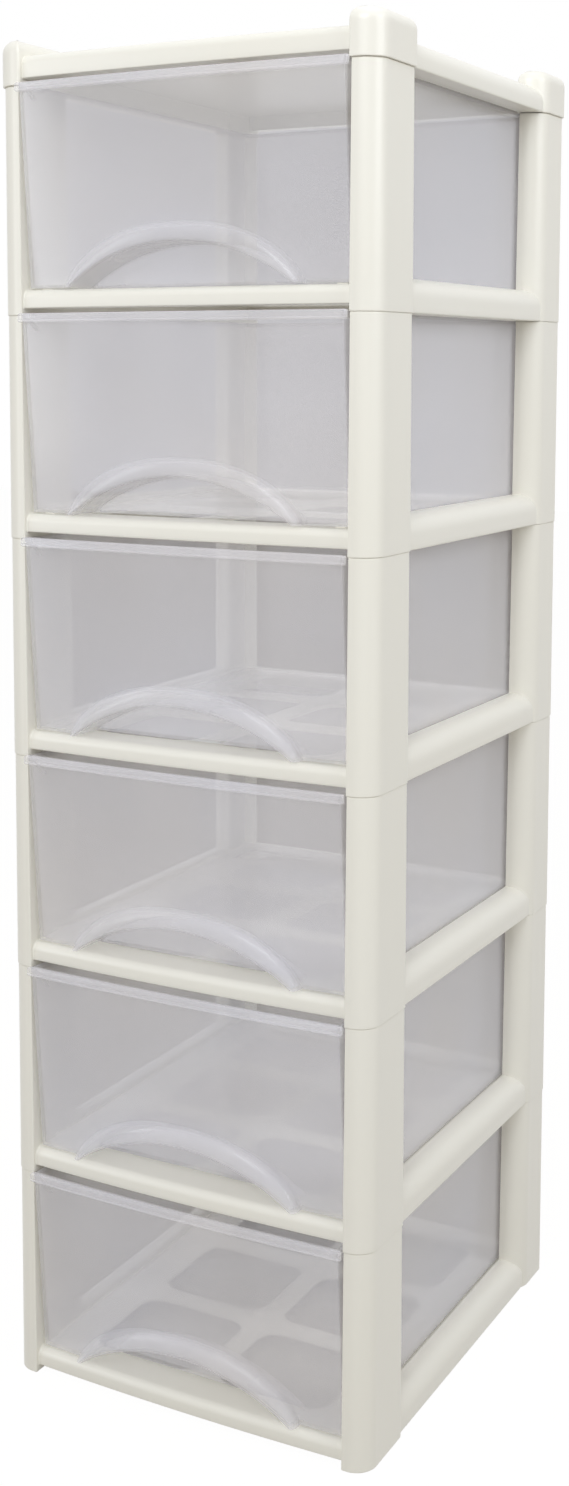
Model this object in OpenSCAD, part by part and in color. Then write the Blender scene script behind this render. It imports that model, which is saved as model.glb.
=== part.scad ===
// Six-tier plastic drawer tower. Each tier is one moulded frame: four hollow corner posts
// that rise from a base ring with a deck. The front corners are round, the rear ones nearly
// square. The frames stack on spigots, a cover with domed corner caps closes the top, and
// each tier holds one clear drawer that slides out forwards.
// Front is -Y, up is +Z, the origin is on the floor under the middle of the outline.

/* [Tower] */
// Outside width over the corner posts
tower_w = 300; // [240:1:420]
// Depth from the front faces to the rear faces of the posts
tower_d = 344; // [280:1:460]
// Height of one tier, from seam to seam
tier_h = 160; // [130:1:240]
// Radius of the two front corners in plan
corner_r = 16; // [8:1:30]
// Radius of the two rear corners in plan
rear_corner_r = 8; // [4:0.5:14]

/* [Posts] */
// Width of a post seen from the front
post_w = 20; // [15:0.5:30]
// Depth of a front post seen from the side
post_d = 59; // [45:1:90]
// Depth of a rear post seen from the side
rear_post_d = 51; // [40:1:80]
// Radius of a front post's edge beside the side window
post_edge_r = 4; // [3:0.5:8]
// Radius of a rear post's edge beside the side window
rear_post_edge_r = 16; // [8:0.5:17]
// Wall of the posts and caps
post_wall = 2; // [1.5:0.1:3]
// Height of the spigot that enters the post above
spigot_h = 8; // [5:0.5:15]
// Gap all round between a spigot and its socket
spigot_gap = 0.3; // [0.2:0.05:0.6]

/* [Rails] */
// Height of the front and rear rails of a tier
rail_h = 13; // [9:0.5:18]
// Height of a rail's lower edge above the seam
rail_lift = 5; // [3:0.5:10]
// Depth of the front and rear rails, nose to back
rail_t = 13; // [10:0.5:20]
// Radius of the upper front edge of the front and rear rails
rail_edge_r = 6; // [3:0.5:9]
// How far a rail's nose lies behind the post faces at its ends
rail_setback = 3; // [2:0.5:8]
// How far the middle of a rail or drawer front bows forwards
bow = 3; // [1:0.5:6]
// Height of the side rails above the seam
side_rail_h = 24; // [20:1:36]
// How far a side rail lies inside the post faces
side_rail_setback = 2; // [1:0.5:5]
// Radius of the round outer shoulder of a side rail
side_rail_r = 13; // [6:0.5:14]

/* [Deck] */
// Thickness of the deck under a drawer
deck_t = 3; // [2:0.5:5]
// Width of one deck opening
deck_hole_w = 92; // [60:1:96]
// Depth of one deck opening
deck_hole_d = 84; // [50:1:90]
// Corner radius of a deck opening
deck_hole_r = 16; // [6:1:24]
// Width of the bars between the deck openings
deck_bar = 16; // [10:1:30]
// Least width of solid deck outside the outermost openings
deck_edge = 10; // [6:1:16]
// Width of a drawer runner
runner_w = 8; // [5:0.5:14]
// Distance from a runner's outer edge to the drawer's side
runner_inset = 6; // [3:0.5:20]
// How far the deck lies below the top of the front rail
deck_drop = 0.5; // [0.25:0.25:6]
// How far the runners rise above the top of the front rail
runner_rise = 1; // [0.5:0.25:3]

/* [Drawer] */
// Wall of a drawer
drawer_wall = 2; // [1.5:0.1:3]
// Gap between a drawer's side and a post
drawer_side_gap = 2; // [1:0.5:4]
// Gap under a drawer's floor, above its runners
drawer_lift = 0.3; // [0.2:0.05:1]
// Inside length of the space behind a drawer, to the rear face of the posts
drawer_rear_space = 20; // [10:1:60]
// Height of the gap between a drawer's lip and the rail above it
lip_gap = 3.5; // [2:0.5:8]
// Height of the lip bead
lip_h = 6.5; // [4:0.5:10]
// Thickness of the lip bead, front to back
lip_t = 3.6; // [3:0.2:6]
// How far the lip reaches sideways over each post
lip_overlap = 0.5; // [0.5:0.5:6]
// How far the foot of the front lies behind its top
front_lean = 11; // [4:0.5:20]
// How far the side and rear walls stop below the lip's top
rim_drop = 0.5; // [0.5:0.5:12]
// Width of the rim turned out along the top of the walls
rim_w = 0.5; // [0.25:0.25:0.75]
// Height of that rim
rim_h = 3; // [2:0.5:6]
// Radius of a drawer's rear corners
drawer_rear_r = 12; // [6:1:24]

/* [Handle] */
// Half the width of the arched grip opening
grip_half_w = 88; // [50:1:92]
// Height of the grip opening in the middle
grip_h = 29; // [20:1:38]
// Half the width of the hood over the grip
hood_half_w = 94; // [60:1:102]
// Height of the hood's upper edge in the middle
hood_h = 43; // [34:1:58]
// How far the hood stands out at the middle of its lip
hood_proud = 9; // [5:0.5:12]
// How far the grip recess goes back from the foot of the front
grip_depth = 18; // [12:1:30]

/* [Top cover] */
// Height of a corner cap above the seam
cap_h = 32; // [26:1:45]
// Radius of a cap's rounded top edges
cap_r = 8; // [4:0.5:9]
// How far a cap reaches past its post all round
cap_over = 1; // [0.5:0.25:2]
// Height of the front and rear rails of the cover
top_rail_h = 16; // [12:0.5:20]
// Height of the side rails of the cover
top_side_rail_h = 20; // [17:1:30]
// Thickness of the cover's panel
panel_t = 2.5; // [2:0.25:4]
// How far the panel lies below the top of the cover's rails
panel_drop = 2; // [1:0.5:6]

/* [Hidden] */
$fn = 96;
tiers = 6;
weld = 1;             // how far pieces of one moulding run into each other
far = 1000;           // longer than anything that is cut
clear_of_cap = 0.4;   // gap between the lip and the cap face behind it
least_r = 0.5;        // smallest radius left on an outline drawn inwards

frame_colour = [0.93, 0.92, 0.86];
drawer_colour = [0.83, 0.84, 0.87, 0.45];

bay_half = tower_w/2 - post_w;              // half the clear width between the posts
spigot_in = post_wall + spigot_gap;         // how far a spigot lies inside the post's outline
front_y = -tower_d/2;                       // faces of the front posts
rear_y = tower_d/2;
bow_r = (bay_half*bay_half + bow*bow)/(2*bow);
rail_top = rail_lift + rail_h;
deck_z = rail_top - deck_drop - deck_t;     // underside of the deck
runner_top = rail_top + runner_rise;
infill_d = tower_d - 2*(rail_setback + rail_t - bow - weld);  // decks and panel end inside the rails

// Drawer, in its tier's own heights
drawer_half = bay_half - drawer_side_gap;
drawer_z = runner_top + drawer_lift;        // underside of the drawer
lip_top = tier_h + rail_lift - lip_gap;
rim_top = lip_top - rim_drop;
drawer_rear = rear_y - drawer_rear_space;
lip_half = bay_half + lip_overlap;
lip_back = -post_reach(corner_r, cap_over) - clear_of_cap;  // back of the lip at the caps
lip_nose = lip_back - lip_t;
front_top_y = lip_back - weld/2;            // face of the front at the lip
front_foot_y = front_top_y + front_lean;

// Hood: a sphere that bulges through the front, its rim running through the hood's ends and top
hood_rim_r = (hood_half_w*hood_half_w + hood_h*hood_h)/(2*hood_h);
grip_r = (grip_half_w*grip_half_w + grip_h*grip_h)/(2*grip_h);
hood_z = drawer_z + hood_h - hood_rim_r;
grip_z = drawer_z + grip_h - grip_r;
lip_circle_r = grip_z + grip_r - hood_z;
hood_depth = (hood_rim_r*hood_rim_r - lip_circle_r*lip_circle_r)/(2*hood_proud);
hood_r = sqrt(hood_depth*hood_depth + hood_rim_r*hood_rim_r);
hood_face_y = front_foot_y - front_lean*hood_h/(lip_top - drawer_z) - bow;
grip_back_y = front_foot_y + grip_depth;
front_block_y = lip_nose - 2*bow - hood_proud;  // in front of everything on the drawer
hood_block = grip_back_y - front_block_y + hood_h;
hood_block_half = (drawer_half + hood_half_w)/2;

// Runners and deck openings
runner_x = drawer_half - runner_inset - runner_w;  // inner edge of a runner
runner_d = tower_d - 2*(rail_setback + rail_t - weld);
hole_pitch_x = deck_hole_w + deck_bar;
hole_pitch_y = deck_hole_d + deck_bar;
hole_columns = floor((2*(runner_x - deck_edge) + deck_bar)/hole_pitch_x);
hole_rows = floor((infill_d - 2*deck_edge + deck_bar)/hole_pitch_y);

// The whole outline is centred on the origin
front_reach = max(-lip_nose + bow, post_reach(corner_r, cap_over));
rear_reach = max(tower_d/2 - rail_setback + bow, post_reach(rear_corner_r, cap_over));
shift_y = (front_reach - rear_reach)/2;

// How far a post with a corner of radius r reaches forwards or backwards, grown by `grow`.
// Where r is wider than the post, its end is part of the corner's arc.
function post_reach(r, grow) = tower_d/2 - r
    + sqrt(pow(r + grow, 2) - pow(max(r - post_w - grow, 0), 2));

module place(level) {
    translate([0, shift_y, level*tier_h]) children();
}

module mirror_x() {
    children();
    mirror([1, 0, 0]) children();
}

// Rounded rectangle, centred
module rounded(w, d, r) {
    square([w - 2*r, d], center = true);
    square([w, d - 2*r], center = true);
    for (x = [-1, 1]) for (y = [-1, 1])
        translate([x*(w/2 - r), y*(d/2 - r)]) circle(r);
}

// Rectangle whose two corners on the +X side are rounded, by r1 near the X axis and by r2
module half_rounded(w, d, r1, r2) {
    intersection() {
        square([w, d]);
        union() {
            translate([w - r1, r1]) circle(r1);
            translate([w - r2, d - r2]) circle(r2);
            translate([w - far, r1]) square([far, d - r1 - r2]);
            translate([w - far, 0]) square([far - r1, d - r2]);
            translate([w - far, r1]) square([far - r2, d - r1]);
        }
    }
}

// Where a right-hand post starts, how deep it is, and its two outer radii, front then rear
function post_start(rear) = rear ? rear_y - rear_post_d : front_y;
function post_depth(rear) = rear ? rear_post_d : post_d;
function post_radii(rear) = rear ? [rear_post_edge_r, rear_corner_r] : [corner_r, post_edge_r];

// Plan of a right-hand post, grown outwards by `grow` all round
module post_plan(rear, grow) {
    r = [for (r = post_radii(rear)) max(r + grow, least_r)];
    translate([bay_half - grow, post_start(rear) - grow])
        half_rounded(post_w + 2*grow, post_depth(rear) + 2*grow, r[0], r[1]);
}

// Post with the spigot that enters the post above
module post_body(rear) {
    linear_extrude(tier_h) post_plan(rear, 0);
    linear_extrude(tier_h + spigot_h) post_plan(rear, -spigot_in);
}

// Inside of the post, which is the socket for the spigot below
module post_hollow(rear) {
    translate([0, 0, -weld]) {
        linear_extrude(tier_h - post_wall + weld) post_plan(rear, -post_wall);
        linear_extrude(tier_h + spigot_h - post_wall + weld) post_plan(rear, -spigot_in - post_wall);
    }
}

// Bar of constant section bowed in plan. Its 2D section has x = distance behind the nose.
module bowed(nose_y, half) {
    axis_y = nose_y - bow + bow_r;
    intersection() {
        translate([0, axis_y, 0]) rotate([0, 0, 180 + 45]) rotate_extrude(angle = 90, $fn = 360)
            translate([bow_r, 0]) mirror([1, 0]) children();
        translate([-half, nose_y - bow - far, -far]) cube([2*half, 2*far, 2*far]);
    }
}

// Front rail section: a flat face under a rounded upper edge
module rail_section(h, t) {
    r = rail_edge_r;
    square([t, h - r]);
    translate([r, 0]) square([t - r, h]);
    translate([r, h - r]) intersection() {
        circle(r);
        translate([-r, 0]) square(r);
    }
}

module front_rail(h, t) {
    bowed(front_y + rail_setback, bay_half + weld) rail_section(h, t);
}

// Side rail: round shoulder outside and above, flat inside
module side_rail(h) {
    t = post_w - side_rail_setback;
    r = min(side_rail_r, t - weld);
    // The rail runs on into the rear post's rounded edge
    start = front_y + post_d - weld;
    end = rear_y - rear_post_d + rear_post_edge_r;
    translate([bay_half, end, 0]) rotate([90, 0, 0]) linear_extrude(end - start) {
        square([t, h - r]);
        square([t - r, h]);
        translate([t - r, h - r]) intersection() {
            circle(r);
            square(r);
        }
    }
}

module deck() {
    difference() {
        translate([0, 0, deck_z]) linear_extrude(deck_t)
            square([2*bay_half + 2*weld, infill_d], center = true);
        for (column = [1:hole_columns]) for (row = [1:hole_rows])
            translate([(column - (hole_columns + 1)/2)*hole_pitch_x,
                       (row - (hole_rows + 1)/2)*hole_pitch_y, -far/2])
                linear_extrude(far) rounded(deck_hole_w, deck_hole_d, deck_hole_r);
    }
    mirror_x() translate([runner_x, -runner_d/2, deck_z])
        cube([runner_w, runner_d, runner_top - deck_z]);
}

module tier_frame(level) {
    color(frame_colour) place(level) {
        mirror_x() difference() {
            union() {
                for (rear = [false, true]) post_body(rear);
                side_rail(side_rail_h);
            }
            for (rear = [false, true]) post_hollow(rear);
        }
        for (back = [0, 1]) mirror([0, back, 0])
            translate([0, 0, rail_lift]) front_rail(rail_h, rail_t);
        deck();
    }
}

// Domed cap over a right-hand post
module cap_body(rear) {
    start = post_start(rear) - cap_over;
    intersection() {
        linear_extrude(cap_h) post_plan(rear, cap_over);
        translate([bay_half - cap_over, far/2, 0]) rotate([90, 0, 0])
            linear_extrude(far) domed_section(post_w + 2*cap_over, cap_h);
        translate([-far/2, start, 0]) rotate([90, 0, 90])
            linear_extrude(far) domed_section(post_depth(rear) + 2*cap_over, cap_h);
    }
}

// Inside of the cap, open below for the post's spigot
module cap_hollow(rear) {
    translate([0, 0, -weld])
        linear_extrude(cap_h - cap_r - post_wall + weld) post_plan(rear, -post_wall);
}

// Upright section with its two top corners rounded
module domed_section(w, h) {
    r = min(cap_r, w/2 - weld/2);
    square([w, h - r]);
    translate([r, 0]) square([w - 2*r, h]);
    for (x = [r, w - r]) translate([x, h - r]) circle(r);
}

module top_cover() {
    panel_z = rail_lift + top_rail_h - panel_drop - panel_t;
    color(frame_colour) place(tiers) {
        mirror_x() difference() {
            union() {
                for (rear = [false, true]) cap_body(rear);
                side_rail(top_side_rail_h);
            }
            for (rear = [false, true]) cap_hollow(rear);
        }
        for (back = [0, 1]) mirror([0, back, 0])
            translate([0, 0, rail_lift]) front_rail(top_rail_h, rail_t);
        translate([-bay_half - weld, -infill_d/2, panel_z])
            cube([2*bay_half + 2*weld, infill_d, panel_t]);
    }
}

// Everything behind the leaning, bowed front face, moved back by `inset`
module behind_front(inset) {
    bowed(front_top_y + inset, far/2)
        polygon([[0, lip_top], [far/2, lip_top], [far/2, drawer_z], [front_lean, drawer_z]]);
}

// Plan of the tub: square in front, rounded rear corners
module tub_plan(inset) {
    w = 2*(drawer_half - inset);
    r = drawer_rear_r - inset;
    reach = drawer_rear - inset - r - front_block_y;
    translate([-w/2, front_block_y]) square([w, reach]);
    translate([-w/2 + r, drawer_rear - inset - 2*r]) square([w - 2*r, 2*r]);
    for (x = [-1, 1]) translate([x*(w/2 - r), drawer_rear - inset - r]) circle(r);
}

// The tub and its hood as one full form, with the skin moved inwards by `inset`
module tub_form(inset) {
    intersection() {
        translate([0, 0, drawer_z + inset]) linear_extrude(rim_top - drawer_z) tub_plan(inset);
        behind_front(inset);
    }
    intersection() {
        translate([-hood_block_half + inset, front_block_y, drawer_z + inset])
            cube([2*(hood_block_half - inset), hood_block, hood_block]);
        translate([0, hood_face_y + hood_depth + inset, hood_z]) sphere(hood_r, $fn = 192);
    }
}

// The thick top of the front, behind the lip. It stands above the side and rear walls.
module front_head() {
    low = rim_top - rim_h;
    lean = front_lean*(lip_top - low)/(lip_top - drawer_z);
    skin = weld/4;
    inner = drawer_wall + rim_w;
    bowed(front_top_y, drawer_half)
        polygon([[skin, lip_top], [inner, lip_top], [lean + inner, low], [lean + skin, low]]);
}

// The grip recess, its skin moved towards the inside by `inset`
module grip(inset) {
    translate([0, grip_back_y + inset, grip_z]) rotate([90, 0, 0])
        cylinder(h = far/2, r = grip_r + inset, $fn = 192);
}

module drawer(level) {
    color(drawer_colour) place(level) {
        difference() {
            tub_form(0);
            difference() {
                tub_form(drawer_wall);
                grip(drawer_wall);
            }
            grip(0);
        }
        front_head();
        lip();
        rim();
    }
}

module lip() {
    translate([0, 0, lip_top - lip_h]) bowed(lip_nose, lip_half) {
        translate([lip_t/2, lip_t/2]) circle(lip_t/2);
        translate([lip_t/2, lip_h - lip_t/2]) circle(lip_t/2);
        translate([0, lip_t/2]) square([lip_t, lip_h - lip_t]);
    }
}

// Rim turned out along the sides and the rear
module rim() {
    translate([0, 0, rim_top - rim_h]) linear_extrude(rim_h) difference() {
        tub_plan(-rim_w);
        tub_plan(drawer_wall/2);
        translate([-far/2, front_top_y - far + 2*drawer_wall]) square([far, far]);
    }
}

tier_frame(0);  // tier_frame_1
tier_frame(1);  // tier_frame_2
tier_frame(2);  // tier_frame_3
tier_frame(3);  // tier_frame_4
tier_frame(4);  // tier_frame_5
tier_frame(5);  // tier_frame_6
top_cover();
drawer(0);  // drawer_1
drawer(1);  // drawer_2
drawer(2);  // drawer_3
drawer(3);  // drawer_4
drawer(4);  // drawer_5
drawer(5);  // drawer_6
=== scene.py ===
import bmesh
import bpy
import numpy as np
from mathutils import Matrix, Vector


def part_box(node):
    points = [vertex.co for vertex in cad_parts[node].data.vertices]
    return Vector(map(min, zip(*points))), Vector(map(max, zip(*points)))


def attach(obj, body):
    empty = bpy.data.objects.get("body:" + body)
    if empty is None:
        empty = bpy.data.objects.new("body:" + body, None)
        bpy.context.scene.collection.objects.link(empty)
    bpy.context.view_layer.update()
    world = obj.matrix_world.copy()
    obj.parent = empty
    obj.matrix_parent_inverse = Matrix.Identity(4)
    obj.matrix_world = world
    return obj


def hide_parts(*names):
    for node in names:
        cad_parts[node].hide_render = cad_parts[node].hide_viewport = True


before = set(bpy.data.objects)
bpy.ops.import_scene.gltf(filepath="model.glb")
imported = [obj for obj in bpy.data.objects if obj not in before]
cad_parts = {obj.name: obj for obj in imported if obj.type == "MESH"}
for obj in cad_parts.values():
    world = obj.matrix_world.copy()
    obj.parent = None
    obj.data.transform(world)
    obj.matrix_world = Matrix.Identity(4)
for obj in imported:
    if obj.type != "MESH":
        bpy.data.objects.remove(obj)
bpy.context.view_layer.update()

# Corner posts of the tier frames.
# Hollow ivory polypropylene, moulded in one with their tier and a little narrower at the top,
# where a spigot enters the post above. The tower's front corners are rounder than its rear ones.
mm = 0.001
tiers = 6
first_low, first_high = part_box("tier_frame_1")
tier_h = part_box("tier_frame_2")[0].z - first_low.z
half_w = first_high.x
middle_y = (first_low.y + first_high.y)/2
front_y = first_low.y
rear_y = first_high.y
post_w = 20*mm
bay_half = half_w - post_w
post_inner_r = 0.8*mm
least_r = 0.3*mm
front_post = {"front": front_y, "back": front_y + 59*mm, "r_front": 16*mm, "r_back": 4*mm}
rear_post = {"front": rear_y - 51*mm, "back": rear_y, "r_front": 16*mm, "r_back": 8*mm}
post_wall = 2*mm
post_top_t = 4*mm
post_draft = 0.6*mm
edge_r = 0.6*mm
mouth_edge = 0.3*mm
spigot_in = 2.3*mm
spigot_h = 8*mm
spigot_edge = 1*mm
# Points this far from a rounding, in plan and in height, keep its shading off the flat faces.
shading_step = 0.8*mm
edge_band = 1.5*mm


def arc(centre, radius, start, end, count):
    """Points on a circle: centre plus radius times the cosine and sine of angles in degrees."""
    angle = np.radians(np.linspace(start, end, count))
    return np.stack([centre[0] + radius*np.cos(angle), centre[1] + radius*np.sin(angle)], 1)


def eased(arcs):
    """Arcs joined by straight stretches. Each stretch gets a point near either end, so that
    the rounding's shading stops there."""
    parts = []
    for here, after in zip(arcs, arcs[1:] + arcs[:1]):
        run = after[0] - here[-1]
        length = np.linalg.norm(run)
        step = run*min(shading_step, length/3)/max(length, 1e-9)
        parts += [here, [here[-1] + step, after[0] - step]]
    return np.concatenate(parts)


def post_outline(front, back, r_front, r_back, inset):
    """Plan of the right-hand post, drawn in by inset, as four arcs turning anticlockwise."""
    inner, outer = bay_half + inset, half_w - inset
    low, high = front + inset, back - inset
    wide, narrow, small = (max(r - inset, least_r) for r in (r_front, r_back, post_inner_r))
    return eased([
        arc((inner + small, low + small), small, 180, 270, 6),
        arc((outer - wide, low + wide), wide, 270, 360, 24),
        arc((outer - narrow, high - narrow), narrow, 0, 90, 9),
        arc((inner + small, high - small), small, 90, 180, 6)])


def at_height(plan, height):
    """Points of a plan, all raised to one height."""
    return np.pad(plan, ((0, 0), (0, 1)), constant_values=height)


def stacked(outline, stations):
    """Rings at several heights: for each (height, inset) the outline drawn in by that inset."""
    return np.stack([at_height(outline(inset), height) for height, inset in stations])


def tube(rings):
    """Closed skin over rings of points: a strip of quads between each ring and the next, and
    one flat face over the first and the last."""
    count, size = rings.shape[:2]
    row = np.arange(count - 1)[:, None]*size
    here = np.arange(size)
    after = (here + 1) % size
    quads = np.stack([row + here, row + after, row + size + after, row + size + here], -1)
    last = (count - 1)*size
    caps = [here[::-1].tolist(), (last + here).tolist()]
    return rings.reshape(-1, 3), quads.reshape(-1, 4).tolist() + caps


def both_sides(part):
    """A part of the right-hand side and its mirror image on the left."""
    points, faces = part
    return [part, (points*[-1, 1, 1], [face[::-1] for face in faces])]


def foot_rounding(bottom):
    """Stations round a lower edge: up by the radius times one minus the sine, in by the radius
    times one minus the cosine."""
    return [(bottom + edge_r*(1 - np.sin(a)), edge_r*(1 - np.cos(a)))
            for a in np.radians(np.linspace(90, 0, 5))]


def post(shape, bottom, top):
    """Post from inside to outside: down its hollow's wall, round the foot, up the outer face
    with its draft, and in again to the spigot."""
    def outline(inset):
        return post_outline(inset=inset, **shape)

    head = [(top - edge_r*(1 - np.sin(a)), post_draft + edge_r*(1 - np.cos(a)))
            for a in np.radians(np.linspace(0, 90, 5))]
    inside = [(top - post_top_t, post_wall), (bottom + edge_r, post_wall),
              (bottom, post_wall - mouth_edge)]
    climb = [(bottom + edge_band, 0), (top - edge_band, post_draft)]
    spigot = [(top, spigot_in), (top + spigot_h - spigot_edge, spigot_in),
              (top + spigot_h, spigot_in + spigot_edge)]
    return tube(stacked(outline, inside + foot_rounding(bottom) + climb + head + spigot))


# Side rails of the tier frames.
# A bar along each side with a large round outer shoulder, part of the same moulding. It butts
# against the front post and runs into the rear post's rounded edge in one slanting curve.
side_rail = {"height": 24*mm, "shoulder": 13*mm, "setback": 2*mm}
cover_side_rail = {"height": 20*mm, "shoulder": 13*mm, "setback": 2*mm}
side_rail_heel = 1.2*mm
side_rail_inner_r = 0.5*mm
into_post = 2*mm
# Shares of the rail's height at which its outer face has points of its own.
side_rail_points = (0.2, 0.35)


def straight_bar(section, ends):
    """Section in x and z carried straight along y, with a ring of points at either end."""
    x, z = section.T
    return tube(np.stack([np.stack([x, np.full(len(x), y), z], 1) for y in ends]))


def side_rail_skin(base, height, shoulder, setback):
    """Rail from inside one post to inside the other. Its section goes round the heel, up the
    outer face, round the shoulder and in to the window's edge."""
    inner, outer = bay_half, half_w - setback
    heel, small = side_rail_heel, side_rail_inner_r
    section = np.concatenate([
        arc((inner + heel, heel), heel, 180, 270, 4),
        arc((outer - heel, heel), heel, 270, 360, 5),
        [[outer, height*share] for share in side_rail_points],
        arc((outer - shoulder, height - shoulder), shoulder, 0, 90, 14),
        arc((inner + small, height - small), small, 90, 180, 4)])
    ends = (front_post["back"] - into_post, rear_post["front"] + rear_post["r_front"])
    return straight_bar(section[::-1] + [0, base], ends)


# Front and rear rails of the tier frames.
# A bowed bar across the front and one across the back, with a flat face and a rounded upper
# edge. Their ends spread a little where they run into the posts.
rail_h = 13*mm
rail_lift = 5*mm
rail_t = 13*mm
rail_edge_r = 6*mm
rail_heel = 1*mm
rail_flare = 1.5*mm
rail_spread = 0.8*rail_flare
rail_into_post = 1*mm
bow = 3*mm
# Share of the rail's height at which its face has a point of its own.
rail_point = 0.3


def bowed(x):
    """How far a bowed piece lies behind its middle: the bow times x over the bay, squared."""
    return bow*(x/bay_half)**2


def rail_skin(base, height, back):
    """Section carried across the tower on the bow. Near the ends each point moves out along
    the section's normal by a quarter circle, which makes the fillet to the post."""
    heel, round_r = rail_heel, rail_edge_r
    section = np.concatenate([
        [[rail_t, 0.0]], arc((heel, heel), heel, 270, 180, 5), [[0, height*rail_point]],
        arc((round_r, height - round_r), round_r, 180, 90, 12),
        [[round_r + 1*mm, height], [rail_t, height]]])
    out = np.concatenate([
        [[0, -1]], arc((0, 0), 1, 270, 180, 5), [[-1, 0]], arc((0, 0), 1, 180, 90, 12),
        [[0, 1], [0, 1]]])
    fillet = rail_flare*(1 - np.cos(np.radians(np.linspace(0, 80, 6))))
    half = np.concatenate([np.linspace(0, bay_half - rail_flare, 21)[:-1], bay_half - fillet[::-1],
                           [bay_half + rail_into_post]])
    x = np.concatenate([-half[:0:-1], half])[:, None]
    gap = np.clip((rail_flare - (bay_half - np.abs(x)))/rail_flare, 0, 1)
    spread = rail_spread*(1 - np.sqrt(1 - gap**2))
    depth = section[:, 0] + spread*out[:, 0]
    y = front_y + bowed(x) + depth
    if back:
        y = 2*middle_y - y
    z = base + section[:, 1] + spread*out[:, 1]
    return tube(np.stack([np.broadcast_to(x, y.shape), y, z], -1))


# Decks of the tier frames.
# A thin plate level with the rails' tops, with six rounded openings, and two runners on which
# the drawer slides. It is moulded in one with the rails.
deck_t = 3*mm
deck_half_y = 160*mm
deck_sink = 0.05*mm
deck_top = rail_lift + rail_h - deck_sink
hole_half = np.array([46*mm, 42*mm])
hole_corner_r = 16*mm
hole_columns = (-54*mm, 54*mm)
hole_rows = (-100*mm, 0, 100*mm)
runner = {"inner": 114*mm, "width": 8*mm, "half_length": 157*mm, "rise": 1*mm, "edge_r": 0.6*mm}


def box_outline(low, high, radius, count):
    """Rectangle from low to high with round corners, as count points a side from the middle
    of one corner's arc to the middle of the next."""
    low, high = np.array(low), np.array(high)
    quarter = [arc(c, radius, a, a + 90, 2*count + 1) for c, a in (
        ((low[0] + radius, low[1] + radius), 180), ((high[0] - radius, low[1] + radius), 270),
        ((high[0] - radius, high[1] - radius), 0), ((low[0] + radius, high[1] - radius), 90))]
    return np.concatenate([np.concatenate([quarter[k][count:], quarter[(k + 1) % 4][:count]])
                           for k in range(4)])


def square_outline(low, high, count):
    """Rectangle from low to high, as evenly spaced points starting at its lowest corner."""
    corners = np.array([low, (high[0], low[1]), high, (low[0], high[1])])
    share = np.arange(count)[:, None]/count
    return np.concatenate([corners[k] + share*(corners[(k + 1) % 4] - corners[k])
                           for k in range(4)])


def deck_skin(base):
    """Six cells side by side, each a ring of quads between its edge and its opening, above and
    below, with the opening's wall between them. The outermost edges get walls of their own."""
    xs = [-bay_half - rail_into_post, 0, bay_half + rail_into_post]
    between = [(here + after)/2 for here, after in zip(hole_rows, hole_rows[1:])]
    ys = [-deck_half_y, *between, deck_half_y]
    top, bottom = base + deck_top, base + deck_top - deck_t
    count = 8
    parts = []
    for column, hole_x in enumerate(hole_columns):
        for row, hole_y in enumerate(hole_rows):
            centre = np.array([hole_x, hole_y])
            inside = box_outline(centre - hole_half, centre + hole_half, hole_corner_r, count)
            edge = square_outline((xs[column], ys[row]), (xs[column + 1], ys[row + 1]),
                                  len(inside)//4)
            rings = [(edge, bottom), (edge, top), (inside, top), (inside, bottom), (edge, bottom)]
            for (here, z), (after, next_z) in zip(rings, rings[1:]):
                points, faces = tube(np.stack([at_height(here, z), at_height(after, next_z)]))
                faces = faces[:-2]
                if here is edge and after is edge:
                    middle = points[np.array(faces)].mean(1)
                    rim = (np.abs(np.abs(middle[:, 0]) - xs[2]) < 1e-6) | (
                        np.abs(np.abs(middle[:, 1]) - ys[3]) < 1e-6)
                    faces = [face for face, keep in zip(faces, rim) if keep]
                parts.append((points + [0, middle_y, 0], faces))
    return parts


def runner_skin(base):
    """Runner on the right: a bar with a rounded rectangle as its section, from halfway down the
    deck to a little above the rails."""
    low = (runner["inner"], base + deck_top - deck_t/2)
    high = (runner["inner"] + runner["width"], base + rail_lift + rail_h + runner["rise"])
    ends = (middle_y - runner["half_length"], middle_y + runner["half_length"])
    return straight_bar(box_outline(low, high, runner["edge_r"], 3), ends)


def joined(parts):
    """Points and faces of several parts as one list of each."""
    points, faces, count = [], [], 0
    for part_points, part_faces in parts:
        points.append(part_points)
        faces += [[i + count for i in face] for face in part_faces]
        count += len(part_points)
    return np.concatenate(points), faces


merge_distance = 2e-6
sharp_degrees = 32


def new_piece(name, parts, material):
    """Mesh object from parts: doubles merged, faces turned outwards, smooth but for its sharp
    edges. Faces of more than four corners are shaded flat."""
    points, faces = joined(parts)
    mesh = bpy.data.meshes.new(name)
    mesh.from_pydata(points, [], faces)
    work = bmesh.new()
    work.from_mesh(mesh)
    bmesh.ops.remove_doubles(work, verts=work.verts, dist=merge_distance)
    bmesh.ops.recalc_face_normals(work, faces=work.faces)
    work.to_mesh(mesh)
    work.free()
    mesh.polygons.foreach_set("use_smooth", [face.loop_total <= 4 for face in mesh.polygons])
    mesh.set_sharp_from_angle(angle=np.radians(sharp_degrees))
    mesh.materials.append(material)
    piece = bpy.data.objects.new(name, mesh)
    bpy.context.scene.collection.objects.link(piece)
    return piece


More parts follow.
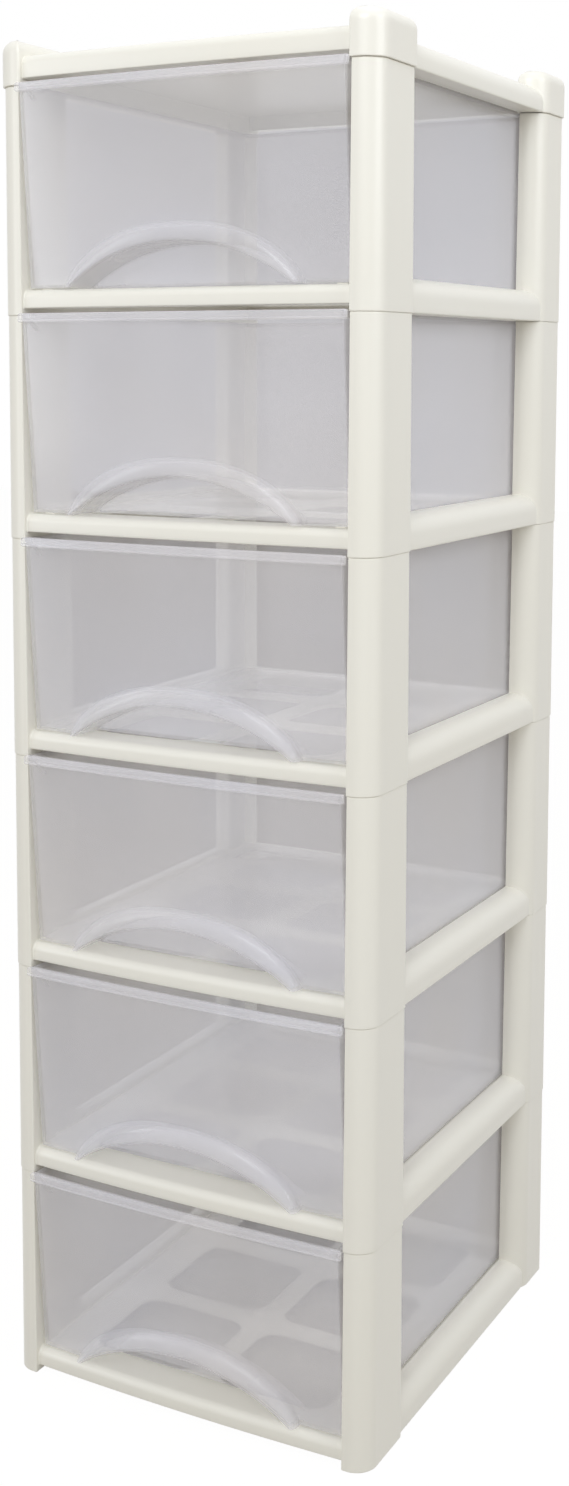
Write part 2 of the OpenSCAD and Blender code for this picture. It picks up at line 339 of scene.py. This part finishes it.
def moulded_group():
    """Surface of an injection moulding: large soft patches that shift the colour a little,
    finer ones that shift the gloss, and a faint orange peel as height."""
    group = bpy.data.node_groups.new("moulded_surface", "ShaderNodeTree")
    face = group.interface
    for name, kind in (("Pale", "NodeSocketColor"), ("Warm", "NodeSocketColor")):
        face.new_socket(name, in_out="INPUT", socket_type=kind)
    for name, value in (("Roughness", 0.3), ("Spread", 0.05)):
        face.new_socket(name, in_out="INPUT", socket_type="NodeSocketFloat").default_value = value
    for name, kind in (("Colour", "NodeSocketColor"), ("Roughness", "NodeSocketFloat"),
                       ("Height", "NodeSocketFloat")):
        face.new_socket(name, in_out="OUTPUT", socket_type=kind)
    nodes, links = group.nodes, group.links
    inputs, outputs = nodes.new("NodeGroupInput"), nodes.new("NodeGroupOutput")
    place = nodes.new("ShaderNodeTexCoord")

    def noise(scale, detail):
        node = nodes.new("ShaderNodeTexNoise")
        node.inputs["Scale"].default_value = scale
        node.inputs["Detail"].default_value = detail
        links.new(place.outputs["Object"], node.inputs["Vector"])
        return node.outputs["Fac"]

    blend = nodes.new("ShaderNodeMix")
    blend.data_type = "RGBA"
    links.new(noise(5, 2), blend.inputs["Factor"])
    links.new(inputs.outputs["Pale"], blend.inputs["A"])
    links.new(inputs.outputs["Warm"], blend.inputs["B"])
    links.new(blend.outputs["Result"], outputs.inputs["Colour"])
    offset = nodes.new("ShaderNodeMath")
    offset.operation = "SUBTRACT"
    links.new(noise(30, 3), offset.inputs[0])
    offset.inputs[1].default_value = 0.5
    vary = nodes.new("ShaderNodeMath")
    vary.operation = "MULTIPLY_ADD"
    links.new(offset.outputs["Value"], vary.inputs[0])
    links.new(inputs.outputs["Spread"], vary.inputs[1])
    links.new(inputs.outputs["Roughness"], vary.inputs[2])
    links.new(vary.outputs["Value"], outputs.inputs["Roughness"])
    links.new(noise(420, 2), outputs.inputs["Height"])
    return group


moulded = moulded_group()
polypropylene_ior = 1.49


def moulded_material(name, pale, warm, roughness, spread, peel):
    """Principled material fed by the moulded surface, with a bump of peel metres."""
    material = bpy.data.materials.new(name)
    material.use_nodes = True
    nodes, links = material.node_tree.nodes, material.node_tree.links
    shader = nodes["Principled BSDF"]
    shader.inputs["IOR"].default_value = polypropylene_ior
    surface = nodes.new("ShaderNodeGroup")
    surface.node_tree = moulded
    surface.inputs["Pale"].default_value = (*pale, 1)
    surface.inputs["Warm"].default_value = (*warm, 1)
    surface.inputs["Roughness"].default_value = roughness
    surface.inputs["Spread"].default_value = spread
    bump = nodes.new("ShaderNodeBump")
    bump.inputs["Strength"].default_value = 1
    bump.inputs["Distance"].default_value = peel
    links.new(surface.outputs["Colour"], shader.inputs["Base Color"])
    links.new(surface.outputs["Roughness"], shader.inputs["Roughness"])
    links.new(surface.outputs["Height"], bump.inputs["Height"])
    links.new(bump.outputs["Normal"], shader.inputs["Normal"])
    return material


ivory = moulded_material(
    "ivory_plastic", (0.88, 0.86, 0.785), (0.87, 0.84, 0.745), 0.3, 0.08, 0.00001)

for level in range(tiers):
    base = level*tier_h
    parts = []
    for shape in (front_post, rear_post):
        parts += both_sides(post(shape, base, base + tier_h))
    parts += both_sides(side_rail_skin(base, **side_rail))
    parts += [rail_skin(base + rail_lift, rail_h, back) for back in (False, True)]
    parts += deck_skin(base)
    parts += both_sides(runner_skin(base))
    piece = new_piece(f"tier_{level + 1}_moulding", parts, ivory)
    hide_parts(f"tier_frame_{level + 1}")
    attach(piece, "tower")

# Top cover.
# One ivory moulding that closes the tower: four domed corner caps that slip over the last
# posts' spigots and reach a little past them, rails between the caps, and a flat panel.
cap_h = 32*mm
cap_over = 1*mm
cap_round_in = 8.5*mm
cap_round_down = 9*mm
crown_degrees = 84
cover_rail_h = 16*mm
panel_t = 2.5*mm
panel_drop = 2*mm
panel_into_rail = 0.5*mm
cover_base = tiers*tier_h


def cap(shape):
    """Cap over a post: the post's plan, grown outwards, goes up and then in along a quarter
    ellipse to a nearly flat crown, over an open hollow."""
    def outline(inset):
        return post_outline(inset=inset - cap_over, **shape)

    top = cover_base + cap_h
    shoulder = top - cap_round_down
    inside = [(shoulder - post_wall, cap_over + post_wall),
              (cover_base + edge_r, cap_over + post_wall), (cover_base, post_wall)]
    dome = [(top - cap_round_down*(1 - np.sin(a)), cap_round_in*(1 - np.cos(a)))
            for a in np.radians(np.linspace(0, crown_degrees, 12))]
    climb = [(cover_base + edge_band, 0), (shoulder - 1*mm, 0)]
    return tube(stacked(outline, inside + foot_rounding(cover_base) + climb + dome))


def slab_skin(low, high):
    """Flat plate between two corners, its edges hidden inside the rails and caps."""
    outline = square_outline(low[:2], high[:2], 6)
    return tube(np.stack([at_height(outline, low[2]), at_height(outline, high[2])]))


parts = []
for shape in (front_post, rear_post):
    parts += both_sides(cap(shape))
parts += both_sides(side_rail_skin(cover_base, **cover_side_rail))
parts += [rail_skin(cover_base + rail_lift, cover_rail_h, back) for back in (False, True)]
panel_top = cover_base + rail_lift + cover_rail_h - panel_drop
panel_half = bay_half + panel_into_rail
parts.append(slab_skin((-panel_half, middle_y - deck_half_y, panel_top - panel_t),
                       (panel_half, middle_y + deck_half_y, panel_top)))
cover = new_piece("cover_moulding", parts, ivory)
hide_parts("top_cover")
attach(cover, "tower")

# Drawers.
# Clear, slightly milky polypropylene tubs with 2 mm walls. The bowed front leans back towards
# its foot and bulges into a hood over an arched grip recess, all one wall of plastic.
drawer_low, drawer_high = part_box("drawer_1")
wall = 2*mm
side_gap = 2*mm
drawer_half = bay_half - side_gap
foot_z = drawer_low.z
lip_top = drawer_high.z
rim_drop = 0.5*mm
rim_top = lip_top - rim_drop
rim_w = 0.5*mm
lip_t = 3.6*mm
lip_overlap = 0.5*mm
lip_nose_y = drawer_low.y
panel_y = lip_nose_y + lip_t - lip_overlap
front_lean = 11*mm
back_y = drawer_high.y - rim_w
rear_r = 12*mm
floor_r = 5*mm
grip_half, grip_h = 88*mm, 29*mm
hood_half, hood_h = 94*mm, 43*mm
hood_proud = 9*mm
hood_squareness = 2.4
fold_r = 2.2*mm
recess_depth = 18*mm
recess_y = panel_y + bow + front_lean + recess_depth
recess_r = 2.5*mm
floor_band = {"front": 8*mm, "rear": 20*mm, "side": 15*mm}
side_steps, top_steps = 20, 44


def front_face(x, z):
    """Depth of the front's face: it leans back evenly from the lip to the foot, on the bow."""
    return panel_y + bowed(x) + front_lean*(lip_top - z)/(lip_top - foot_z)


def evenly(points, share):
    """Points at given shares of a line's length."""
    run = np.concatenate([[0], np.cumsum(np.linalg.norm(np.diff(points, axis=0), axis=1))])
    return np.stack([np.interp(share*run[-1], run, points[:, k]) for k in (0, 1)], 1)


def front_border():
    """Edge of the front from its left foot up, across and down to its right foot, with the
    same heights on the sides as the rows of the side walls."""
    rise = foot_z + (rim_top - foot_z)*np.arange(side_steps + 1)/side_steps
    left = np.stack([np.full(len(rise), -drawer_half), rise], 1)
    top = np.stack([np.linspace(-drawer_half, drawer_half, top_steps),
                    np.full(top_steps, lip_top)], 1)
    return np.concatenate([left, top, left[::-1]*[-1, 1]])


border = front_border()
border_share = np.concatenate([[0], np.cumsum(np.linalg.norm(np.diff(border, axis=0), axis=1))])
border_share /= border_share[-1]
swing = np.radians(np.linspace(180, 0, 721))
hood_bend, shoulder_bend = 2.3, 1.5
hood_line = evenly(np.stack([
    hood_half*np.sign(np.cos(swing))*np.abs(np.cos(swing))**(2/hood_bend),
    foot_z + hood_h*np.abs(np.sin(swing))**(2/shoulder_bend)], 1), border_share)
grip_r = (grip_half**2 + grip_h**2)/(2*grip_h)
span = np.linspace(-grip_half, grip_half, 721)
grip_line = evenly(np.stack([
    span, foot_z + grip_h - grip_r + np.sqrt(grip_r**2 - span**2)], 1), border_share)


def front_sheet():
    """Front as rows from its border inwards: the panel, the hood as a quarter of a squarish
    ellipse standing out from it, the fold at its lip, the recess's ceiling and its rear wall."""
    across = grip_line - hood_line
    width = np.linalg.norm(across, axis=1, keepdims=True)
    inwards = across/width
    rows = []

    def row(place, proud, depth=None):
        x, z = place[:, 0], np.maximum(place[:, 1], foot_z)
        y = front_face(x, z) - proud if depth is None else np.full(len(x), depth)
        rows.append(np.stack([x, y, z], 1))

    for part in np.linspace(0, 1, 15)[:-1]:
        row(border + part*(hood_line - border), 0)
    body = width - fold_r
    power = 2/hood_squareness
    for angle in np.radians(np.linspace(0, 90, 14)):
        row(hood_line + inwards*body*(1 - np.cos(angle)**power),
            hood_proud*np.sin(angle)**power)
    for angle in np.radians(np.linspace(0, 90, 6)[1:]):
        row(hood_line + inwards*(body + fold_r*np.sin(angle)),
            hood_proud - fold_r*(1 - np.cos(angle)))
    start = front_face(*grip_line.T) - hood_proud + fold_r
    stop = recess_y - recess_r
    for part in np.linspace(0, 1, 8)[1:]:
        rows.append(np.stack([grip_line[:, 0], start + part*(stop - start), grip_line[:, 1]], 1))
    for angle in np.radians(np.linspace(0, 90, 5)[1:]):
        row(grip_line + inwards*recess_r*(1 - np.cos(angle)), 0,
            recess_y - recess_r*(1 - np.sin(angle)))
    edge = rows[-1]
    foot = np.stack([np.linspace(edge[0, 0], edge[-1, 0], len(edge)),
                     np.full(len(edge), recess_y), np.full(len(edge), foot_z)], 1)
    for part in np.linspace(0, 1, 8)[1:]:
        rows.append(edge + part*(foot - edge))
    return np.stack(rows)


def tub_walls():
    """Side and rear walls: rows go from the rim down to the floor and round into it. Points on
    the sides lie between the front's leaning face and the start of the rear corner."""
    along = np.array([0, 0.012, 0.03, 0.055, 0.1, 0.35, 0.65, 0.97, 1])
    soft_from = 0.055
    turn = np.radians(np.linspace(180, 90, 9))[1:]
    corner = np.stack([np.cos(turn), np.sin(turn)], 1)
    rear_x = [-drawer_half + rear_r + 3*mm, 0]
    behind = np.zeros(len(corner) + len(rear_x))
    x = np.concatenate([np.full(len(along), -drawer_half),
                        -drawer_half + rear_r*(1 + corner[:, 0]), rear_x])
    inward = np.concatenate([np.tile([1.0, 0.0], (len(along), 1)), -corner, [[0, -1], [0, -1]]])
    far_y = np.concatenate([np.full(len(along), back_y - rear_r),
                            back_y - rear_r*(1 - corner[:, 1]), [back_y, back_y]])
    mix = np.concatenate([1 - along, behind])
    soft = floor_r*np.clip(np.concatenate([along/soft_from, behind + 1]), 0, 1)
    rows = []

    def row(z, inset):
        near = front_face(np.full(len(x), drawer_half), z)
        y = far_y + mix*(near - far_y) + inward[:, 1]*inset
        rows.append(np.stack([x + inward[:, 0]*inset, y, z + np.zeros(len(x))], 1))

    for k in range(side_steps, -1, -1):
        row(foot_z + soft + (rim_top - foot_z - soft)*k/side_steps, 0)
    for angle in np.radians(np.linspace(0, 90, 6)[1:]):
        row(foot_z + soft*(1 - np.sin(angle)), soft*(1 - np.cos(angle)))
    left = np.stack(rows)
    right = left[:, ::-1][:, 1:]*[-1, 1, 1]
    return np.concatenate([left, right], 1)


def sheet_faces(rows, flip=False):
    """Points of an open grid and the quads between its rows, turned over where flip is set."""
    count, size = rows.shape[:2]
    row = np.arange(count - 1)[:, None]*size
    here = np.arange(size - 1)
    quads = np.stack([row + here, row + here + 1, row + size + here + 1, row + size + here], -1)
    quads = quads.reshape(-1, 4)
    return rows.reshape(-1, 3), (quads[:, ::-1] if flip else quads).tolist()


def drawer_floor(front, walls):
    """Flat faces under the tub: a rectangle in the middle, and from each of its sides one face
    out to the front sheet's foot or to a third of the walls' lowest row."""
    nose = np.concatenate([front[:, 0], front[-1, 1:-1], front[::-1, -1]])[::-1]
    outer = walls[-1, ::-1]
    third = (len(outer) - 1)//3
    near, far = recess_y + floor_band["front"], back_y - floor_band["rear"]
    side = drawer_half - floor_band["side"]
    middle = at_height([(-side, near), (side, near), (side, far), (-side, far)], foot_z)
    edges = [middle, np.concatenate([middle[:2], nose])]
    for k in range(3):
        edges.append(np.concatenate([outer[k*third:(k + 1)*third + 1],
                                     middle[[(k + 2) % 4, k + 1]]]))
    faces = []
    for edge in edges:
        gap = np.linalg.norm(edge - np.roll(edge, 1, axis=0), axis=1)
        kept = edge[gap > merge_distance]
        faces.append((kept, [list(range(len(kept)))]))
    return faces


def clear_plastic():
    """Moulded plastic with a milky share that grows where the wall is seen at a slant. Shadow
    rays meet only a small part of that share, so the lamps light the drawer's inside."""
    material = moulded_material(
        "clear_plastic", (0.80, 0.81, 0.89), (0.87, 0.825, 0.79), 0.15, 0.06, 0.000004)
    nodes, links = material.node_tree.nodes, material.node_tree.links
    slant = nodes.new("ShaderNodeLayerWeight")
    slant.inputs["Blend"].default_value = 0.5
    haze = nodes.new("ShaderNodeMapRange")
    haze.interpolation_type = "SMOOTHSTEP"
    haze.inputs["To Min"].default_value = 0.26
    haze.inputs["To Max"].default_value = 0.40
    links.new(slant.outputs["Facing"], haze.inputs["Value"])
    ray = nodes.new("ShaderNodeLightPath")
    shadow = nodes.new("ShaderNodeMapRange")
    shadow.inputs["To Min"].default_value = 1.0
    shadow.inputs["To Max"].default_value = 0.15
    links.new(ray.outputs["Is Shadow Ray"], shadow.inputs["Value"])
    milky = nodes.new("ShaderNodeMath")
    milky.operation = "MULTIPLY"
    links.new(haze.outputs["Result"], milky.inputs[0])
    links.new(shadow.outputs["Result"], milky.inputs[1])
    links.new(milky.outputs["Value"], nodes["Principled BSDF"].inputs["Alpha"])
    return material


clear = clear_plastic()

# Lip and rim of a drawer.
# Part of the tub: a bead across the top of the front that overlaps both posts, its lower edge
# a thin roll, and a narrow flange turned out along the top of the other walls.
lip_h = 6.5*mm
lip_half = drawer_high.x
lip_edge_r = 1.5*mm
lip_hollow = 0.45*mm
lip_flat = (2.5*mm, 4.2*mm)
lip_end_r = 1.5*mm
lip_end_size = 0.55
roll_r = 1.1*mm
rim_depth = 3*mm
rim_root = 0.3*mm
rim_sink = 0.02*mm
rim_edge = 0.2*mm


def lip_skin():
    """Section of the bead carried across on the bow, shrinking over a quarter circle at each
    end."""
    section = np.concatenate([
        arc((roll_r, roll_r), roll_r, 270, 110, 8),
        [[lip_hollow, height] for height in lip_flat],
        arc((lip_hollow + lip_edge_r, lip_h - lip_edge_r), lip_edge_r, 180, 90, 7),
        [[lip_t, lip_h], [lip_t, 0]]])
    middle = section.mean(0)
    run = np.linspace(0, lip_half - lip_end_r, 24)
    turn = np.radians(np.linspace(0, 90, 6))[1:]
    half = np.concatenate([run, lip_half - lip_end_r*(1 - np.sin(turn))])
    shrink = lip_end_size + (1 - lip_end_size)*np.cos(turn)
    size = np.concatenate([np.ones(len(run)), shrink])
    x = np.concatenate([-half[:0:-1], half])[:, None]
    size = np.concatenate([size[:0:-1], size])[:, None]
    depth = middle[0] + size*(section[:, 0] - middle[0])
    height = middle[1] + size*(section[:, 1] - middle[1])
    y = lip_nose_y + bowed(x) + depth
    return tube(np.stack([np.broadcast_to(x, y.shape), y, lip_top - lip_h + height], -1))


def rim_skin(walls):
    """Flange carried along the walls' top row: out by its width and down by its depth."""
    line = walls[0]
    run = np.gradient(line[:, :2], axis=0)
    run /= np.linalg.norm(run, axis=1, keepdims=True)
    out = np.stack([-run[:, 1], run[:, 0]], 1)
    section = [(-rim_root, rim_sink), (rim_root, rim_sink), (rim_w, rim_edge),
               (rim_w, rim_depth - rim_edge), (rim_root, rim_depth), (-rim_root, rim_depth)]
    return tube(np.stack([np.stack([line[:, 0] + out[:, 0]*reach, line[:, 1] + out[:, 1]*reach,
                                    line[:, 2] - drop], 1) for reach, drop in section], 1))


def lifted(parts, height):
    """The same parts, moved up by a height."""
    return [(points + [0, 0, height], faces) for points, faces in parts]


front = front_sheet()
walls = tub_walls()
tub_parts = [sheet_faces(front), sheet_faces(walls, flip=True), *drawer_floor(front, walls)]
edge_parts = [lip_skin(), rim_skin(walls)]
for level in range(tiers):
    tub = new_piece(f"drawer_{level + 1}_tub", lifted(tub_parts, level*tier_h), clear)
    thick = tub.modifiers.new("wall", "SOLIDIFY")
    thick.thickness = wall
    thick.offset = -1
    thick.use_even_offset = True
    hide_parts(f"drawer_{level + 1}")
    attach(tub, f"drawer_{level + 1}")
    rim = new_piece(f"drawer_{level + 1}_rim", lifted(edge_parts, level*tier_h), clear)
    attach(rim, f"drawer_{level + 1}")

# Floor, light and camera.
# The camera sees floor and backdrop as plain white, and they light the tower as a pale room
# would. Large soft lamps stand in front, beside and above, the camera to the front's right.
pale_floor = bpy.data.materials.new("pale_floor")
pale_floor.use_nodes = True
floor_nodes, floor_links = pale_floor.node_tree.nodes, pale_floor.node_tree.links
floor_nodes.remove(floor_nodes["Principled BSDF"])
matt = floor_nodes.new("ShaderNodeBsdfDiffuse")
matt.inputs["Color"].default_value = (0.50, 0.47, 0.41, 1)
white = floor_nodes.new("ShaderNodeEmission")
white.inputs["Strength"].default_value = 1.05


def plain_white_share(nodes, links):
    """1 for a ray that meets plain white: one from the camera with no clear wall before it, a
    mirrored one or one sent on through glass. 0 for the rest, which meet the lit room."""
    def maths(operation, first, second):
        node = nodes.new("ShaderNodeMath")
        node.operation = operation
        node.use_clamp = True
        links.new(first, node.inputs[0])
        if isinstance(second, float):
            node.inputs[1].default_value = second
        else:
            links.new(second, node.inputs[1])
        return node.outputs["Value"]

    path = nodes.new("ShaderNodeLightPath").outputs
    free = maths("LESS_THAN", path["Transparent Depth"], 0.5)
    seen = maths("MULTIPLY", path["Is Camera Ray"], free)
    return maths("ADD", maths("ADD", seen, path["Is Glossy Ray"]), path["Is Transmission Ray"])


amount = floor_nodes.new("ShaderNodeMath")
amount.operation = "MULTIPLY"
amount.inputs[1].default_value = 0.93
floor_links.new(plain_white_share(floor_nodes, floor_links), amount.inputs[0])
floor_mix = floor_nodes.new("ShaderNodeMixShader")
floor_links.new(amount.outputs["Value"], floor_mix.inputs["Fac"])
floor_links.new(matt.outputs["BSDF"], floor_mix.inputs[1])
floor_links.new(white.outputs["Emission"], floor_mix.inputs[2])
floor_links.new(floor_mix.outputs["Shader"], floor_nodes["Material Output"].inputs["Surface"])
floor_mesh = bpy.data.meshes.new("floor")
floor_mesh.from_pydata([(-8, -8, 0), (8, -8, 0), (8, 8, 0), (-8, 8, 0)], [], [(0, 1, 2, 3)])
floor_mesh.materials.append(pale_floor)
floor = bpy.data.objects.new("floor", floor_mesh)
bpy.context.scene.collection.objects.link(floor)

world = bpy.data.worlds.new("studio")
world.use_nodes = True
bpy.context.scene.world = world
sky_nodes, sky_links = world.node_tree.nodes, world.node_tree.links
room = sky_nodes["Background"]
room.inputs["Color"].default_value = (0.98, 0.97, 1.0, 1)
room.inputs["Strength"].default_value = 0.43
backdrop = sky_nodes.new("ShaderNodeBackground")
backdrop.inputs["Color"].default_value = (1, 1, 1, 1)
sky_mix = sky_nodes.new("ShaderNodeMixShader")
sky_links.new(plain_white_share(sky_nodes, sky_links), sky_mix.inputs["Fac"])
sky_links.new(room.outputs["Background"], sky_mix.inputs[1])
sky_links.new(backdrop.outputs["Background"], sky_mix.inputs[2])
sky_links.new(sky_mix.outputs["Shader"], sky_nodes["World Output"].inputs["Surface"])


def lamp(name, place, aim, size, power, colour):
    """Rectangular area lamp at a place, turned to face a point."""
    light = bpy.data.lights.new(name, "AREA")
    light.color = colour
    light.shape = "RECTANGLE"
    light.size, light.size_y = size
    light.energy = power
    holder = bpy.data.objects.new(name, light)
    toward = np.array(aim) - np.array(place)
    back = -toward/np.linalg.norm(toward)
    right = np.cross([0, 0, 1], back)
    right /= np.linalg.norm(right)
    up = np.cross(back, right)
    turn = Matrix(np.stack([right, up, back], 1).tolist()).to_4x4()
    holder.matrix_world = Matrix.Translation(place) @ turn
    bpy.context.scene.collection.objects.link(holder)


cool = (0.93, 0.965, 1.0)
lamp("front_softbox", (0.4, -1.9, 1.9), (0, 0, 1.05), (1.2, 1.0), 23.5, cool)
lamp("right_softbox", (1.9, -0.2, 1.6), (0, 0, 0.95), (1.2, 1.2), 16, cool)
lamp("left_strip", (-1.7, -1.9, 1.0), (0, 0, 0.6), (0.3, 1.5), 8, cool)
lamp("top_softbox", (0.2, 0.1, 2.5), (0, 0.1, 0), (1.4, 1.4), 5, cool)

camera_data = bpy.data.cameras.new("camera")
camera = bpy.data.objects.new("camera", camera_data)
bpy.context.scene.collection.objects.link(camera)
bpy.context.scene.camera = camera
image_h = 1486
focal_px = 1828.5
horizon_px = 585.5
camera_data.sensor_width = 36
camera_data.lens = camera_data.sensor_width*focal_px/image_h
camera_data.shift_y = (horizon_px - image_h/2)/image_h
eye = (0.6617, -1.2369, 0.7651)
yaw, pitch, roll = np.radians([28.42, -6.86, 0.15])
ahead = np.array([-np.sin(yaw)*np.cos(pitch), np.cos(yaw)*np.cos(pitch), np.sin(pitch)])
level_right = np.array([np.cos(yaw), np.sin(yaw), 0])
level_up = np.cross(level_right, ahead)
right = np.cos(roll)*level_right + np.sin(roll)*level_up
up = np.cross(right, ahead)
turn = Matrix(np.stack([right, up, -ahead], 1).tolist()).to_4x4()
camera.matrix_world = Matrix.Translation(eye) @ turn

scene = bpy.context.scene
scene.view_settings.view_transform = "Standard"
scene.cycles.max_bounces = 12
scene.cycles.transparent_max_bounces = 48
